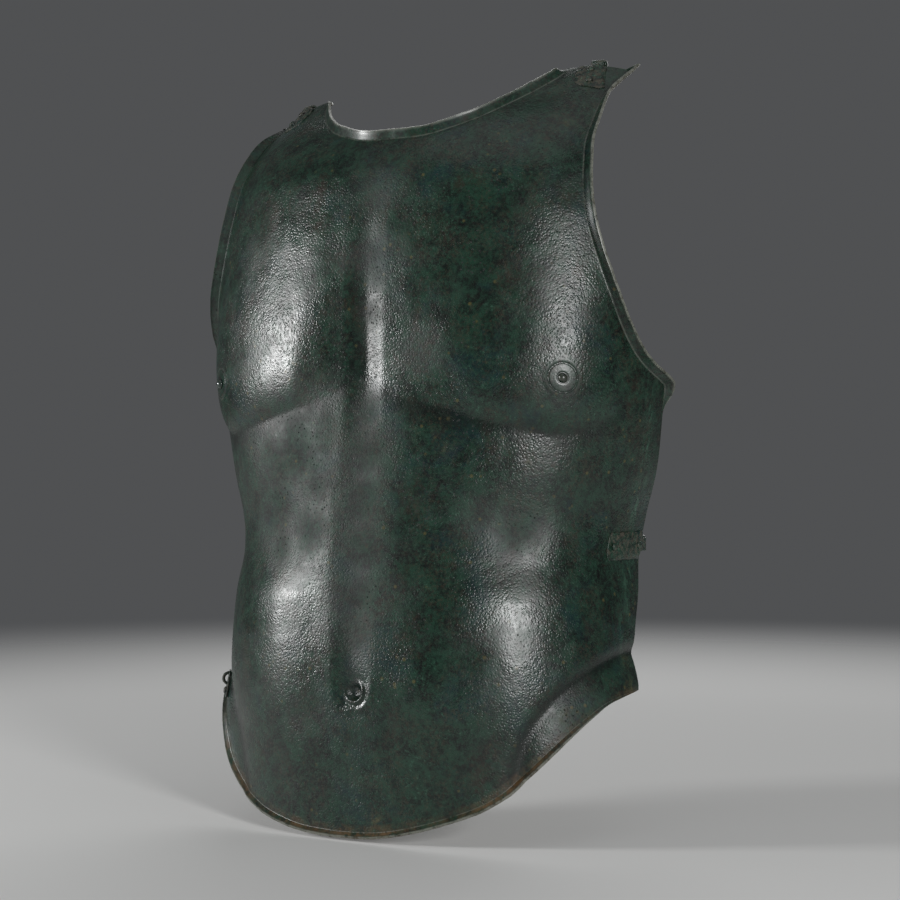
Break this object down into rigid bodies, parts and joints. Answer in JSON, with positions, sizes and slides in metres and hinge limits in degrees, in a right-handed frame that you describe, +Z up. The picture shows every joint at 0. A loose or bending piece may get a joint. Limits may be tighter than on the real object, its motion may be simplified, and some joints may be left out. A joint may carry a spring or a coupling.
{
  "type": "muscle cuirass breastplate",
  "caption": "Front plate of a bronze muscle cuirass, hammered as a bare torso, with riveted hinge halves and loose pins at the shoulders and flanks",
  "frame": {"origin": "on the midline of the plate, level with the lowest point of the belly rim, between the two side seams", "axes": "+Z up, -Y where the wearer faces, +X the wearer's left"},
  "size_m": [0.3224, 0.1437, 0.4839],
  "materials": {
    "patina": "dark green patina, satin",
    "corroded": "rough corroded bronze",
    "worn": "worn dark bronze"
  },
  "bodies": {
    "plate": {"breastplate": "patina", "areola_left": "patina", "nipple_stud_left": "worn", "areola_right": "patina", "nipple_stud_right": "worn", "shoulder_hinge_left_leaf": "corroded", "shoulder_hinge_left_rivet_1": "corroded", "shoulder_hinge_left_rivet_2": "corroded", "shoulder_hinge_right_leaf": "corroded", "shoulder_hinge_right_rivet_1": "corroded", "shoulder_hinge_right_rivet_2": "corroded", "side_hinge_left_leaf": "corroded", "side_hinge_left_rivet_1": "corroded", "side_hinge_left_rivet_2": "corroded", "side_hinge_right_leaf": "corroded", "side_hinge_right_rivet_1": "corroded", "side_hinge_right_rivet_2": "corroded", "hip_lug_right": "corroded", "hip_lug_rivet": "corroded"},
    "shoulder_left_pin": {"shoulder_hinge_left_pin": "worn"},
    "shoulder_right_pin": {"shoulder_hinge_right_pin": "worn"},
    "side_left_pin": {"side_hinge_left_pin": "worn"},
    "side_right_pin": {"side_hinge_right_pin": "worn"}
  },
  "joints": [
    {"name": "shoulder_left_pin_draw", "type": "slide", "parent": "plate", "child": "shoulder_left_pin", "axis": [0.9915, 0.1304, 0], "range_m": [0, 0.0095]},
    {"name": "shoulder_right_pin_draw", "type": "slide", "parent": "plate", "child": "shoulder_right_pin", "axis": [-0.8832, 0.4691, 0], "range_m": [0, 0.0095]},
    {"name": "side_left_pin_draw", "type": "slide", "parent": "plate", "child": "side_left_pin", "axis": [0, 0, 1], "range_m": [0, 0.0095]},
    {"name": "side_right_pin_draw", "type": "slide", "parent": "plate", "child": "side_right_pin", "axis": [0, 0, 1], "range_m": [0, 0.0095]}
  ]
}
